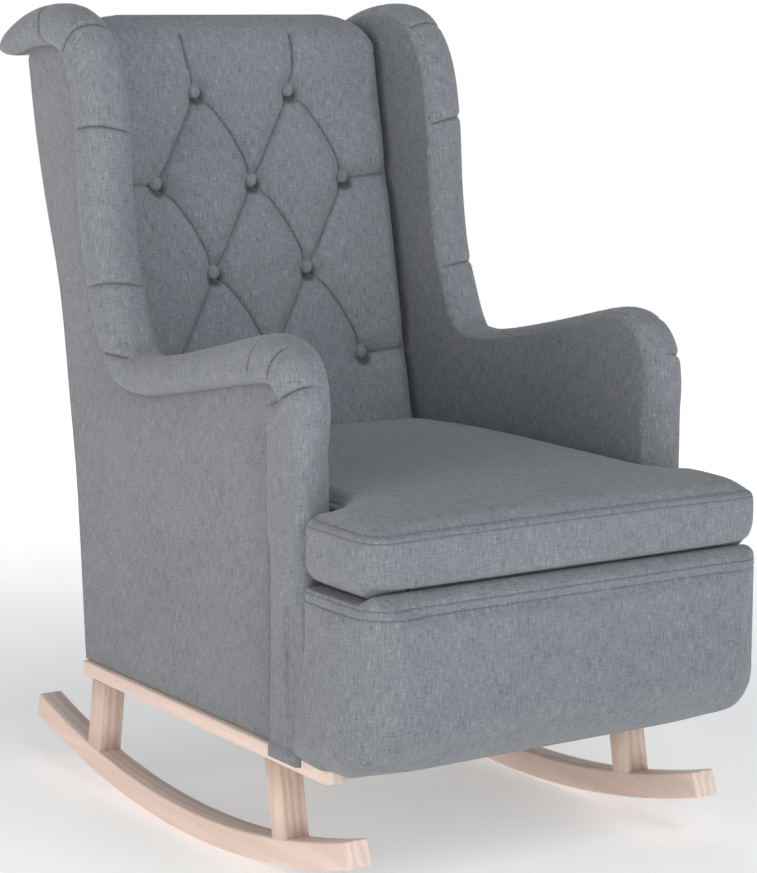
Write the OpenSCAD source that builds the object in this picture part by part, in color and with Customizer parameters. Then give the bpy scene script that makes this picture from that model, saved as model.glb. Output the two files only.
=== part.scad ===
// Wing-back rocking chair: upholstered body with a loose T-shaped seat cushion
// on a pair of timber side frames with curved runners.
// +Z is up, the chair faces -Y, and left is the sitter's left, +X.

/* [Rocker base] */
// Width over the timber side frames
base_w = 556; // [540:1:580]
// Thickness of the timber across the chair
timber_t = 34; // [30:1:38]
// Height of the upper rails' top face above the floor
rail_top = 169; // [165:1:172]
// Depth of the upper rails
rail_h = 20; // [18:1:24]
// Radius of the runners' underside
runner_r = 1406; // [1300:1:1500]
// Depth of the runners
runner_h = 33; // [30:1:38]
// Width of each leg, seen from the side
leg_w = 35; // [30:1:38]
// How far each leg's foot stands out beyond its top
leg_splay = 20; // [10:1:26]

/* [Seat] */
// Height of the seat deck, where the loose cushion lies
deck_z = 385; // [380:1:386]
// Thickness of the seat cushion at its edge
cushion_t = 68; // [60:1:80]
// Extra height of the cushion's crown
cushion_crown = 25; // [10:1:30]
// Width between the inside arms
seat_w = 464; // [460:1:466]
// Width of the T-shaped cushion in front of the arms
cushion_front_w = 584; // [560:1:588]
// Width of the padded front apron
apron_w = 590; // [580:1:596]
// Radius of the apron's lower corners, seen from the front
apron_r = 26; // [20:1:80]
// Radius of the apron's lower front edge, seen from the side
apron_front_r = 84; // [40:1:86]

/* [Back] */
// Height of the back cushion's top edge
back_top = 1034; // [1020:1:1040]
// Backward lean of the back, as run over rise
back_lean = 0.2; // [0.18:0.01:0.22]
// Thickness of the back cushion
back_t = 58; // [50:1:60]
// Spacing of the buttons across the back
button_pitch = 149; // [130:1:155]
// Height between rows of buttons
button_rise = 122; // [110:1:125]
// Button diameter
button_d = 21; // [18:1:26]

/* [Sides] */
// Width over the outside covers
body_w = 542; // [540:1:543]
// Radius of the padded roll round the wings
wing_roll_r = 33; // [30:1:34]
// Radius of the padded roll on the arms
arm_roll_r = 29; // [27:1:30]

/* [Hidden] */

$fn = 64;
// Gap left between soft solids that lie against each other
gap = 0.3;
// Moves the drawing's zero line to the middle of the chair's length
datum_y = -2;

// Lengths along Y of the timber base
low_y = 20;
runner_front = -387;
runner_rear = 430;
rail_front = -343;
rail_rear = 287;
front_leg_y = -232;
rear_leg_y = 222;
base_in = base_w / 2 - timber_t;
rail_low = rail_top - rail_h;
runner_cz = runner_r;
runner_top_r = runner_r - runner_h;

// Layers of a side, from the inside out
pad_x = seat_w / 2;
ply_x = 254;
cover_x = 266;
face_x = body_w / 2;
sill_x = 232;
bolt_x = 257;
bolt_ys = [-265, -30, 190];

// Heights of the hidden frame
sill_h = 34;
sill_top = rail_top + sill_h;
web_z = deck_z - 13;
arm_y = -290;
arm_front_y = -306;
box_front = -436;
apron_front = -458;
cushion_front = -455;

// Padded lip along the apron's top edge, which the cushion's front edge rests on
lip_top = 396;
lip_t = 22;
lip_rear = apron_front + 1 + lip_t;
box_x = 262;

// Line of the outside back, and the front line of the back cushion
rear_edge = [[289, 169], [304, 390], [323, 522], [347, 669], [387, 788], [413, 881], [431, 975]];
back_foot_y = 216;
back_foot_z = 466;
function back_y(z) = back_foot_y + back_lean * max(0, z - back_foot_z);
function shifted(pts, dy) = [for (p = pts) [p[0] + dy, p[1]]];
function backwards(pts) = [for (i = [len(pts) - 1 : -1 : 0]) pts[i]];
function runner_top_z(y) = runner_cz - sqrt(runner_top_r * runner_top_r - (y - low_y) * (y - low_y));

// Edge of the plywood side: up the arm front, along the arm, up the wing to the top
side_edge = [
    [-285, 545], [-272, 598], [-240, 624], [-190, 624], [-63, 596], [72, 573], [135, 578],
    [172, 606], [200, 668], [222, 727], [234, 806], [240, 889], [262, 962], [290, 998],
    [334, 1008], [400, 990]
];
side_outline = concat(
    [[arm_y + 5, sill_top]], side_edge, backwards(shifted(rear_edge, -4 - gap)), [[283, sill_top]]
);

// Middle line and radius of the wing roll and of the arm roll: [y, z, radius scale]
wing_path = [
    [442, 999, 0.62], [398, 1013, 0.86], [334, 1021, 1], [284, 1009, 1], [247, 962, 1],
    [228, 889, 1], [223, 806, 1], [210, 727, 1], [192, 670, 1], [158, 607, 1]
];
arm_path = [
    [118, 584, 1], [72, 581, 1], [-63, 605, 1], [-190, 633, 1], [-240, 633, 1],
    [-270, 608, 0.95], [-280, 562, 0.85]
];

// Buttons: two and three to a row, in turn, as [x, z]
button_z1 = 566;
button_rows = 4;
buttons = [
    for (row = [0 : button_rows - 1]) for (k = [-1 : 1])
        if (row % 2 == 0 || k < 1)
            [(k + (row % 2) / 2) * button_pitch, button_z1 + row * button_rise]
];
button_sink = 13;

// Screws through the sides into the ends of the rails, as [y, z]
screw_yz = [
    [273, 320], [273, 352], [301, 480], [301, 508], [397, 948], [397, 972]
];

module at_datum() { translate([0, datum_y, 0]) children(); }

// Left is drawn; the right side is its mirror image
module on_side(left) { if (left) children(); else mirror([1, 0, 0]) children(); }

// Extrudes an outline in Y and Z from x0 to x1
module slab(x0, x1) { translate([x0, 0, 0]) rotate([90, 0, 90]) linear_extrude(x1 - x0) children(); }

module block(x0, x1, y0, y1, z0, z1) {
    translate([x0, y0, z0]) cube([x1 - x0, y1 - y0, z1 - z0]);
}

module round_rect(w, h, r) {
    translate([r, 0]) square([w - 2 * r, h]);
    translate([0, r]) square([w, h - 2 * r]);
    for (x = [r, w - r]) for (y = [r, h - r]) translate([x, y]) circle(r);
}

// Chain of blended balls along a side's edge
module roll(path, r, x) {
    for (i = [0 : len(path) - 2]) hull() {
        for (p = [path[i], path[i + 1]])
            translate([x, p[0], p[1]]) sphere(r * p[2], $fn = 18);
    }
}

// ---- timber base ----
module upper_rail(left) {
    on_side(left) difference() {
        translate([base_in, rail_front, rail_low]) linear_extrude(rail_h) {
            translate([timber_t / 2, timber_t / 2]) circle(timber_t / 2);
            translate([0, timber_t / 2]) square([timber_t, rail_rear - rail_front - timber_t / 2 - 8]);
            translate([8, 100]) square([timber_t - 16, rail_rear - rail_front - 100]);
            for (x = [8, timber_t - 8]) translate([x, rail_rear - rail_front - 8]) circle(8);
        }
        for (y = bolt_ys) {
            translate([bolt_x, y, rail_low - 1]) cylinder(h = rail_h + 2, r = 4.2);
            translate([bolt_x, y, rail_low - 1]) cylinder(h = 10, r = 7.5);
        }
        dowel_bores();
    }
}

module leg(left, y, splay) {
    on_side(left) difference() {
        intersection() {
            slab(base_in, base_w / 2) polygon([
                [y, rail_low], [y + leg_w, rail_low],
                [y + leg_w + 1.3 * splay, 0], [y + 1.3 * splay, 0]
            ]);
            translate([0, low_y, runner_cz]) rotate([0, 90, 0])
                cylinder(h = base_w, r = runner_top_r, center = false, $fn = 256);
        }
        dowel_bores();
    }
}

module runner(left) {
    on_side(left) difference() {
        intersection() {
            translate([base_in, low_y, runner_cz]) rotate([0, 90, 0]) difference() {
                cylinder(h = timber_t, r = runner_r, $fn = 256);
                translate([0, 0, -1]) cylinder(h = timber_t + 2, r = runner_top_r, $fn = 256);
            }
            translate([base_in, runner_front, 0]) linear_extrude(200) {
                for (y = [timber_t / 2, runner_rear - runner_front - timber_t / 2])
                    translate([timber_t / 2, y]) circle(timber_t / 2);
                translate([0, timber_t / 2]) square([timber_t, runner_rear - runner_front - timber_t]);
            }
        }
        dowel_bores();
    }
}

// Two dowels at each end of each leg: [y, lower z, length]
dowel_places = [
    for (leg_place = [[front_leg_y, -leg_splay], [rear_leg_y, leg_splay]]) for (off = [-8, 8]) each [
        [leg_place[0] + leg_w / 2 + off, rail_low - 24, 36],
        [leg_place[0] + leg_w / 2 + leg_place[1] * 0.85 + off,
            runner_top_z(leg_place[0] + leg_w / 2 + leg_place[1] * 0.85 + off) - 16, 40]
    ]
];
module dowel_bores() {
    for (d = dowel_places)
        translate([base_w / 2 - timber_t / 2, d[0], d[1]]) cylinder(h = d[2], r = 4);
}
module leg_dowels() {
    color("burlywood") at_datum() for (left = [true, false]) on_side(left) dowel_bores();
}

module base_bolts() {
    color("silver") at_datum() for (left = [true, false]) on_side(left) for (y = bolt_ys) {
        translate([bolt_x, y, rail_low + 1]) difference() {
            cylinder(h = 8, r = 6.5);
            translate([0, 0, -1]) cylinder(h = 5, r = 3.4, $fn = 6);
        }
        translate([bolt_x, y, rail_low + 9]) cylinder(h = 40, r = 4);
    }
}

module insert_nuts() {
    color("goldenrod") at_datum() for (left = [true, false]) on_side(left) for (y = bolt_ys)
        translate([bolt_x, y, rail_top + 1]) difference() {
            cylinder(h = 20, r = 6.5);
            translate([0, 0, -1]) cylinder(h = 22, r = 4);
        }
}

// ---- hidden timber frame ----
module sill(left) {
    on_side(left) difference() {
        block(sill_x, cover_x, arm_y + 5, 283, rail_top, sill_top);
        for (y = bolt_ys) {
            translate([bolt_x, y, rail_top - 1]) cylinder(h = 22, r = 6.5);
            translate([bolt_x, y, rail_top + 1]) cylinder(h = 30, r = 4.2);
        }
    }
}

module cross_rails() {
    color("burlywood") at_datum() for (y = [-280, 248])
        block(-sill_x, sill_x, y, y + 30, rail_top + 4, sill_top);
}

module side_panel(left) {
    on_side(left) difference() {
        slab(ply_x, cover_x) polygon(side_outline);
        screw_bores();
    }
}

module back_post(left) {
    on_side(left) difference() {
        slab(pad_x, ply_x) polygon(concat(
            [[250, sill_top], [250, 376], [280, 392], [280, back_foot_z], [back_y(985) + 64, 985], [420, 985]],
            backwards(shifted([for (p = rear_edge) if (p[1] > sill_top && p[1] < 970) p], -6)),
            [[283, sill_top]]
        ));
        screw_bores();
    }
}

module seat_rail(left) { on_side(left) block(pad_x, ply_x, arm_y + 5, 249.5, web_z - 72, web_z); }

module front_rail() {
    color("burlywood") at_datum() block(-box_x, box_x, box_front + gap, box_front + 22, 204, web_z);
}

module front_box_side(left) {
    on_side(left) block(pad_x - 22, pad_x, box_front + 22, -215, 204, web_z);
}

module rail_between(y, z, t, h) {
    difference() {
        block(-pad_x, pad_x, y, y + t, z, z + h);
        for (left = [true, false]) on_side(left) screw_bores();
    }
}
module rear_rail() { color("burlywood") at_datum() rail_between(261, web_z - 72, 24, 72); }
module lumbar_rail() { color("burlywood") at_datum() rail_between(291, 466, 18, 56); }
module crest_rail() { color("burlywood") at_datum() rail_between(386, 932, 22, 56); }

module screw_bores() {
    for (p = screw_yz) {
        translate([pad_x - 28, p[0], p[1]]) rotate([0, 90, 0]) cylinder(h = 62, r = 2.2);
        translate([cover_x - 3, p[0], p[1]]) rotate([0, 90, 0]) cylinder(h = 4, r = 4.2);
    }
}
module frame_screws() {
    color("gray") at_datum() for (left = [true, false]) on_side(left) for (p = screw_yz) {
        translate([pad_x - 27, p[0], p[1]]) rotate([0, 90, 0]) cylinder(h = cover_x - 3 - pad_x + 27, r = 2.2);
        translate([cover_x - 3, p[0], p[1]]) rotate([0, 90, 0]) cylinder(h = 2.5, r = 4);
    }
}

// Glued triangular blocks in the corners of the seat frame
module corner_blocks() {
    color("burlywood") at_datum() for (left = [true, false]) on_side(left) {
        translate([0, 0, 310]) linear_extrude(50) {
            polygon([[pad_x - 0.1, 260.9], [pad_x - 0.1, 215], [pad_x - 46, 260.9]]);
            polygon([
                [pad_x - 22.1, box_front + 22.1], [pad_x - 22.1, box_front + 68], [pad_x - 68, box_front + 22.1]
            ]);
        }
    }
}

// ---- suspension ----
module seat_webbing() {
    color("dimgray") at_datum() {
        for (x = [-165, -55, 55, 165]) block(x - 30, x + 30, box_front + 4, 283, web_z, web_z + 1.8);
        for (y = [-355, -215, -90, 40, 165]) block(-252, 252, y - 30, y + 30, web_z + 1.8, web_z + 3.6);
    }
}

module back_webbing() {
    color("dimgray") at_datum() {
        for (z = [470, 580, 690, 800, 915]) slab(-250, 250) polygon([
            [back_y(z) + 61, z], [back_y(z) + 63, z],
            [back_y(z + 45) + 63, z + 45], [back_y(z + 45) + 61, z + 45]
        ]);
    }
}

module seat_deck() {
    color("darkgray") at_datum() {
        block(-ply_x + gap, ply_x - gap, arm_y + 5, 249.5, web_z + 4, deck_z);
        block(-pad_x + gap, pad_x - gap, arm_front_y, arm_y + 5, web_z + 4, deck_z);
        block(-box_x, box_x, box_front + 2, arm_front_y - gap, web_z + 4, deck_z);
    }
}

module dust_cover() {
    color("black") at_datum() block(-sill_x + gap, sill_x - gap, arm_y + 5, 283, rail_top + 1, rail_top + 2.5);
}

// ---- back ----
module back_cushion() {
    color("slategray") at_datum() difference() {
        intersection() {
            slab(-pad_x + 2, pad_x - 2) polygon([
                [back_foot_y, deck_z + gap], [back_foot_y, back_foot_z], [back_y(960), 960],
                [back_y(960) + 10, 995], [back_y(960) + 30, 1021], [back_y(960) + 55, back_top],
                [back_y(960) + 80, 1028], [back_y(960) + 92, 992], [back_y(985) + back_t, 990],
                [back_y(back_foot_z) + back_t, back_foot_z], [back_foot_y + back_t, 393],
                [248, deck_z + gap]
            ]);
            translate([-pad_x + 2, 600, 0]) rotate([90, 0, 0]) linear_extrude(600) {
                square([2 * pad_x - 4, 960]);
                translate([0, 700]) round_rect(2 * pad_x - 4, back_top - 700, 46);
            }
        }
        for (b = buttons) {
            translate([b[0], back_y(b[1]) - 30, b[1]]) rotate([-90, 0, 0])
                cylinder(h = 30 + button_sink + 5, r = button_d / 2 + 1);
            translate([b[0], back_y(b[1]), b[1]]) rotate([-90, 0, 0]) cylinder(h = 90, r = 1.2);
        }
    }
}

module tuft_buttons() {
    color("slategray") at_datum() for (b = buttons)
        translate([b[0], back_y(b[1]) + button_sink + 4.5, b[1]]) rotate([90, 0, 0]) intersection() {
            cylinder(h = 9, r = button_d / 2);
            translate([0, 0, 9 - button_d]) sphere(button_d);
        }
}

module button_twine() {
    color("ivory") at_datum() for (b = buttons)
        translate([b[0], back_y(b[1]) + button_sink + 4.5, b[1]]) rotate([-90, 0, 0])
            cylinder(h = back_t - button_sink - 4, r = 1);
}

module outside_back() {
    color("slategray") at_datum() {
        slab(-cover_x + gap, cover_x - gap) polygon(concat(rear_edge, backwards(shifted(rear_edge, -4))));
        slab(-pad_x + gap, pad_x - gap)
            polygon([[427, 974], [431, 974], [434, 994], [409, 997], [409, 992], [429, 990]]);
    }
}

// ---- sides ----
module outside_cover(left) { on_side(left) slab(cover_x, face_x) polygon(concat(
    [[arm_y + 5, rail_top]], side_edge, backwards(rear_edge)));
}

module inside_pad(left) {
    on_side(left) intersection() {
        slab(pad_x, ply_x - gap) polygon(side_outline);
        slab(pad_x - 1, ply_x) polygon([
            [-400, deck_z + gap], [249.5, deck_z + gap], [back_y(0) + 60, 394], [back_y(0) + 60, back_foot_z],
            [back_y(1030) + 60, 1030], [-400, 1030]
        ]);
        children();
    }
}
module inside_arm(left) {
    inside_pad(left) block(0, 300, -400, 400, 0, 602);
}
module inside_wing(left) {
    inside_pad(left) block(0, 300, 130, 500, 602 + gap, 1200);
}

// Shape of the side that the rolls are wrapped round
module side_core() {
    slab(pad_x - gap, face_x + gap) polygon(concat(
        [[arm_y + 5 - gap, 0]], side_edge, [[440, 985], [440, 960]], backwards(rear_edge)));
}

module wing_roll(left) {
    on_side(left) difference() {
        roll(wing_path, wing_roll_r, face_x - 6);
        side_core();
        block(0, pad_x + gap, 0, 500, 0, 1100);
        block(0, 400, -200, 140, 0, 1100);
    }
}

module arm_roll(left) {
    on_side(left) difference() {
        roll(arm_path, arm_roll_r, face_x - 6);
        side_core();
        block(0, 400, 140 - gap, 300, 0, 1100);
        block(0, pad_x + gap, -400, 300, 0, 1100);
        block(0, 400, -400, -200, 0, 560);
    }
}

module arm_front(left) {
    on_side(left) difference() {
        translate([0, 0, rail_top - 11]) linear_extrude(560 - rail_top + 11 - gap) {
            translate([pad_x + gap, arm_front_y]) round_rect(face_x + 12 - pad_x - gap, 60, 14);
            translate([face_x, -280]) square([12, 66]);
        }
        block(0, base_w / 2 + gap, -600, 300, 0, rail_top + gap);
        side_core();
        block(0, cover_x + 5 + gap, arm_y + 5 - gap, 300, 0, 700);
    }
}

// ---- front ----
module apron() {
    color("slategray") at_datum() difference() {
        intersection() {
            translate([-apron_w / 2, arm_front_y - gap, 0]) rotate([90, 0, 0]) linear_extrude(arm_front_y - apron_front) {
                translate([0, 165]) round_rect(apron_w, 150, apron_r);
                translate([0, 165 + apron_r]) square([apron_w, 70]);
                translate([0, 200 + apron_r]) round_rect(apron_w, lip_top - 200 - apron_r, 34);
            }
            slab(-apron_w, apron_w) {
                translate([apron_front + apron_front_r, 165 + apron_front_r]) circle(apron_front_r);
                translate([apron_front + apron_front_r, 165]) square([100, 120]);
                translate([apron_front, 165 + apron_front_r]) round_rect(184, deck_z - 4 - 165 - apron_front_r, 40);
                translate([apron_front, 165 + apron_front_r]) square([100, 60]);
                translate([apron_front + 1, 320]) round_rect(lip_t, lip_top - 320, 9);
            }
        }
        block(-box_x - gap, box_x + gap, box_front, 0, 200, 500);
        for (side = [-1, 1]) translate([side * (base_w - timber_t) / 2, 0, 0])
            block(-timber_t / 2 - gap, timber_t / 2 + gap, rail_front - gap, 0, 0, rail_top + gap);
    }
}

// ---- loose cushion ----
// Height of a shallow crown, from 1 in the middle to 0 at either end
function crown(t) = 1 - t * t;
module seat_cushion() {
    base = deck_z + gap;
    half = cushion_front_w / 2;
    mid = (cushion_front + 216) / 2;
    steps = [for (i = [-8 : 8]) i / 8];
    color("slategray") at_datum() intersection() {
        translate([0, 0, base]) linear_extrude(cushion_t + cushion_crown) {
            translate([-half, cushion_front]) round_rect(2 * half, arm_front_y - 2 - cushion_front, 40);
            translate([-half, -380]) square([2 * half, 380 + arm_front_y - 2]);
            translate([1 - pad_x, -380]) square([2 * pad_x - 2, 380 + back_foot_y - 1]);
        }
        translate([0, 400, 0]) rotate([90, 0, 0]) linear_extrude(900) polygon(concat(
            [for (t = steps) [t * (half + 1), base + cushion_t + cushion_crown * crown(t)]],
            [[half + 1, base - 1], [-half - 1, base - 1]]
        ));
        slab(-half - 2, half + 2) polygon(concat(
            [for (t = steps) [mid + t * (220 - mid), base + cushion_t - 18 + (cushion_crown + 18) * crown(t * t)]],
            [[221, base - 1], [lip_rear + 0.5, base - 1], [lip_rear + 0.5, lip_top + gap],
             [cushion_front + 6, lip_top + gap], [cushion_front - 3, lip_top + 12]]
        ));
    }
}

module upper_rail_left() { color("bisque") at_datum() upper_rail(true); }
module upper_rail_right() { color("bisque") at_datum() upper_rail(false); }
module front_leg_left() { color("bisque") at_datum() leg(true, front_leg_y, -leg_splay); }
module front_leg_right() { color("bisque") at_datum() leg(false, front_leg_y, -leg_splay); }
module rear_leg_left() { color("bisque") at_datum() leg(true, rear_leg_y, leg_splay); }
module rear_leg_right() { color("bisque") at_datum() leg(false, rear_leg_y, leg_splay); }
module runner_left() { color("bisque") at_datum() runner(true); }
module runner_right() { color("bisque") at_datum() runner(false); }
module sill_left() { color("burlywood") at_datum() sill(true); }
module sill_right() { color("burlywood") at_datum() sill(false); }
module side_panel_left() { color("tan") at_datum() side_panel(true); }
module side_panel_right() { color("tan") at_datum() side_panel(false); }
module back_post_left() { color("burlywood") at_datum() back_post(true); }
module back_post_right() { color("burlywood") at_datum() back_post(false); }
module seat_rail_left() { color("burlywood") at_datum() seat_rail(true); }
module seat_rail_right() { color("burlywood") at_datum() seat_rail(false); }
module front_box_side_left() { color("burlywood") at_datum() front_box_side(true); }
module front_box_side_right() { color("burlywood") at_datum() front_box_side(false); }
module outside_cover_left() { color("lightslategray") at_datum() outside_cover(true); }
module outside_cover_right() { color("lightslategray") at_datum() outside_cover(false); }
module inside_arm_left() { color("slategray") at_datum() inside_arm(true); }
module inside_arm_right() { color("slategray") at_datum() inside_arm(false); }
module inside_wing_left() { color("slategray") at_datum() inside_wing(true); }
module inside_wing_right() { color("slategray") at_datum() inside_wing(false); }
module arm_roll_left() { color("lightslategray") at_datum() arm_roll(true); }
module arm_roll_right() { color("lightslategray") at_datum() arm_roll(false); }
module wing_roll_left() { color("lightslategray") at_datum() wing_roll(true); }
module wing_roll_right() { color("lightslategray") at_datum() wing_roll(false); }
module arm_front_left() { color("lightslategray") at_datum() arm_front(true); }
module arm_front_right() { color("lightslategray") at_datum() arm_front(false); }

upper_rail_left();
upper_rail_right();
front_leg_left();
front_leg_right();
rear_leg_left();
rear_leg_right();
runner_left();
runner_right();
leg_dowels();
base_bolts();
insert_nuts();
sill_left();
sill_right();
cross_rails();
side_panel_left();
side_panel_right();
back_post_left();
back_post_right();
seat_rail_left();
seat_rail_right();
front_rail();
front_box_side_left();
front_box_side_right();
rear_rail();
lumbar_rail();
crest_rail();
corner_blocks();
frame_screws();
seat_webbing();
back_webbing();
seat_deck();
dust_cover();
back_cushion();
tuft_buttons();
button_twine();
outside_back();
outside_cover_left();
outside_cover_right();
inside_arm_left();
inside_arm_right();
inside_wing_left();
inside_wing_right();
arm_roll_left();
arm_roll_right();
wing_roll_left();
wing_roll_right();
arm_front_left();
arm_front_right();
apron();
seat_cushion();
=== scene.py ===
import bpy
import bmesh
import math
from contextlib import contextmanager
from mathutils import Matrix, Vector, noise


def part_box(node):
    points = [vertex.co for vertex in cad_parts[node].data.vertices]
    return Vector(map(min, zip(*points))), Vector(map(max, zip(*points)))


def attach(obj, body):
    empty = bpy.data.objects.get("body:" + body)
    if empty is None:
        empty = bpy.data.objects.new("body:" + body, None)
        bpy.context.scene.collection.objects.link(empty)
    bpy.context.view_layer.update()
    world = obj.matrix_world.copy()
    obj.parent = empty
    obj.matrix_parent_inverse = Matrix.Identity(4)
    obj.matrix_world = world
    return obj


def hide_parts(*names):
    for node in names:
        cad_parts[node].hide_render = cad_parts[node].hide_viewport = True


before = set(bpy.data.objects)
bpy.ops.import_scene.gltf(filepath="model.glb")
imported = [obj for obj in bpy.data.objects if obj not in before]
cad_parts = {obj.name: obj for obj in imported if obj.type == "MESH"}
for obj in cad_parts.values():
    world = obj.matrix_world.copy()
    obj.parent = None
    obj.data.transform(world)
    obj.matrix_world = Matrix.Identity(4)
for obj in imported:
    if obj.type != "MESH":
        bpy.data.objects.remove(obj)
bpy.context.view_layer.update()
scene = bpy.context.scene
scene.view_settings.view_transform = "Standard"

# The design's zero line along Y, taken from the upper rail's rear end
railRearY = 0.287
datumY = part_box("upper_rail_left")[1].y - railRearY


# Shader helpers
def addNode(tree, kind, values=None, **settings):
    made = tree.nodes.new(kind)
    for key, value in settings.items():
        setattr(made, key, value)
    for key, value in (values or {}).items():
        made.inputs[key].default_value = value
    return made


def wire(tree, source, target):
    tree.links.new(source, target)


def calc(tree, operation, a, b=None, c=None):
    made = addNode(tree, "ShaderNodeMath", operation=operation)
    for slot, value in enumerate((a, b, c)):
        if value is None:
            continue
        if isinstance(value, (int, float)):
            made.inputs[slot].default_value = value
        else:
            wire(tree, value, made.inputs[slot])
    return made.outputs[0]


def blendColour(tree, factor, a, b):
    made = addNode(tree, "ShaderNodeMix", data_type="RGBA", blend_type="MIX")
    for slot, value in ((0, factor), (6, a), (7, b)):
        if isinstance(value, (int, float)):
            made.inputs[slot].default_value = value
        elif isinstance(value, tuple):
            made.inputs[slot].default_value = (*value, 1.0)
        else:
            wire(tree, value, made.inputs[slot])
    return made.outputs[2]


def noiseAt(tree, vector, scale, detail=2.0, rough=0.5, dims="3D"):
    made = addNode(tree, "ShaderNodeTexNoise", {"Scale": scale, "Detail": detail, "Roughness": rough},
                   noise_dimensions=dims)
    wire(tree, vector, made.inputs["Vector"])
    return made.outputs["Fac"]


def stretched(tree, vector, scale):
    made = addNode(tree, "ShaderNodeMapping", {"Scale": scale})
    wire(tree, vector, made.inputs["Vector"])
    return made.outputs["Vector"]


def ramp(tree, factor, stops):
    made = addNode(tree, "ShaderNodeValToRGB")
    while len(made.color_ramp.elements) < len(stops):
        made.color_ramp.elements.new(0.5)
    for element, (place, colour) in zip(made.color_ramp.elements, stops):
        element.position = place
        element.color = (*colour, 1.0)
    wire(tree, factor, made.inputs["Fac"])
    return made.outputs["Color"]


def remap(tree, value, low, high, toLow=0.0, toHigh=1.0):
    made = addNode(tree, "ShaderNodeMapRange", {"From Min": low, "From Max": high, "To Min": toLow,
                                               "To Max": toHigh})
    wire(tree, value, made.inputs["Value"])
    return made.outputs["Result"]


def newMaterial(name, roughness, **constants):
    made = bpy.data.materials.new(name)
    made.use_nodes = True
    tree = made.node_tree
    shader = tree.nodes["Principled BSDF"]
    shader.inputs["Roughness"].default_value = roughness
    for key, value in constants.items():
        shader.inputs[key].default_value = value
    return made, tree, shader


def bumpInto(tree, shader, height, strength, distance):
    made = addNode(tree, "ShaderNodeBump", {"Strength": strength, "Distance": distance})
    wire(tree, height, made.inputs["Height"])
    wire(tree, made.outputs["Normal"], shader.inputs["Normal"])


# Cloth coordinates: two axes in the surface, chosen by which way it faces
def clothPlane(tree):
    place = addNode(tree, "ShaderNodeTexCoord")
    spot = addNode(tree, "ShaderNodeSeparateXYZ")
    facing = addNode(tree, "ShaderNodeSeparateXYZ")
    wire(tree, place.outputs["Object"], spot.inputs[0])
    wire(tree, place.outputs["Normal"], facing.inputs[0])
    nx, ny, nz = [calc(tree, "ABSOLUTE", facing.outputs[i]) for i in range(3)]
    x, y, z = [spot.outputs[i] for i in range(3)]
    sideways = calc(tree, "GREATER_THAN", nx, ny)
    upward = calc(tree, "GREATER_THAN", nz, calc(tree, "MAXIMUM", nx, ny))

    def choose(factor, a, b):
        made = addNode(tree, "ShaderNodeMix", data_type="FLOAT")
        wire(tree, factor, made.inputs[0])
        wire(tree, a, made.inputs[2])
        wire(tree, b, made.inputs[3])
        return made.outputs[0]

    u = choose(upward, choose(sideways, x, y), x)
    v = choose(upward, z, y)
    flat = addNode(tree, "ShaderNodeCombineXYZ")
    wire(tree, u, flat.inputs[0])
    wire(tree, v, flat.inputs[1])
    return place.outputs["Object"], flat.outputs[0], u, v


weaveLook = {
    "threadPitch": 0.0011,  # metres from thread to thread
    "slubAcross": 600.0,
    "slubAlong": 62.0,
    "dark": (0.130, 0.139, 0.157),
    "middle": (0.228, 0.240, 0.262),
    "light": (0.400, 0.410, 0.428),
}


def upholstery(name):
    look = weaveLook
    made, tree, shader = newMaterial(name, 0.88, **{"Sheen Weight": 0.22, "Sheen Roughness": 0.5,
                                                   "Specular IOR Level": 0.18})
    whole, flat, u, v = clothPlane(tree)
    across, along = look["slubAcross"], look["slubAlong"]
    warp = noiseAt(tree, stretched(tree, flat, (across, along, 1.0)), 1.0, 3.0, 0.62, "2D")
    weft = noiseAt(tree, stretched(tree, flat, (along * 1.3, across, 1.0)), 1.0, 3.0, 0.62, "2D")
    patch = noiseAt(tree, whole, 9.0, 3.0, 0.55)
    fleck = noiseAt(tree, stretched(tree, flat, (900.0, 900.0, 1.0)), 1.0, 1.0, 0.5, "2D")
    tone = calc(tree, "ADD", calc(tree, "MULTIPLY", warp, 0.52), calc(tree, "MULTIPLY", weft, 0.38))
    tone = calc(tree, "ADD", tone, calc(tree, "MULTIPLY", fleck, 0.10))
    tone = calc(tree, "ADD", tone, remap(tree, patch, 0.3, 0.7, -0.022, 0.022))
    cloud = noiseAt(tree, whole, 60.0, 3.0, 0.6)
    tone = calc(tree, "ADD", tone, remap(tree, cloud, 0.3, 0.7, -0.03, 0.03))
    colour = ramp(tree, tone, [
        (0.34, look["dark"]), (0.48, look["middle"]), (0.56, look["middle"]), (0.70, look["light"])])
    # plain weave: threads over and under in turn
    k = math.pi / look["threadPitch"]
    sinU = calc(tree, "SINE", calc(tree, "MULTIPLY", u, k))
    sinV = calc(tree, "SINE", calc(tree, "MULTIPLY", v, k))
    weave = calc(tree, "MULTIPLY_ADD", calc(tree, "MULTIPLY", sinU, sinV), 0.5, 0.5)
    colour = blendColour(tree, calc(tree, "MULTIPLY", weave, 0.16), colour, (0.05, 0.055, 0.065))
    # painted shade: a per-point layer darkens the cloth towards near black in pleats, seams, under the buttons
    # and where parts meet
    paintedShade = addNode(tree, "ShaderNodeAttribute", attribute_name="paintedShade")
    shade = calc(tree, "MULTIPLY", paintedShade.outputs["Fac"], 0.8)
    colour = blendColour(tree, shade, colour, (0.018, 0.02, 0.024))
    wire(tree, colour, shader.inputs["Base Color"])
    rough = remap(tree, tone, 0.35, 0.7, 0.95, 0.8)
    wire(tree, rough, shader.inputs["Roughness"])
    height = calc(tree, "ADD", calc(tree, "MULTIPLY", weave, 0.35), tone)
    bumpInto(tree, shader, height, 0.55, 0.0011)
    return made


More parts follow.
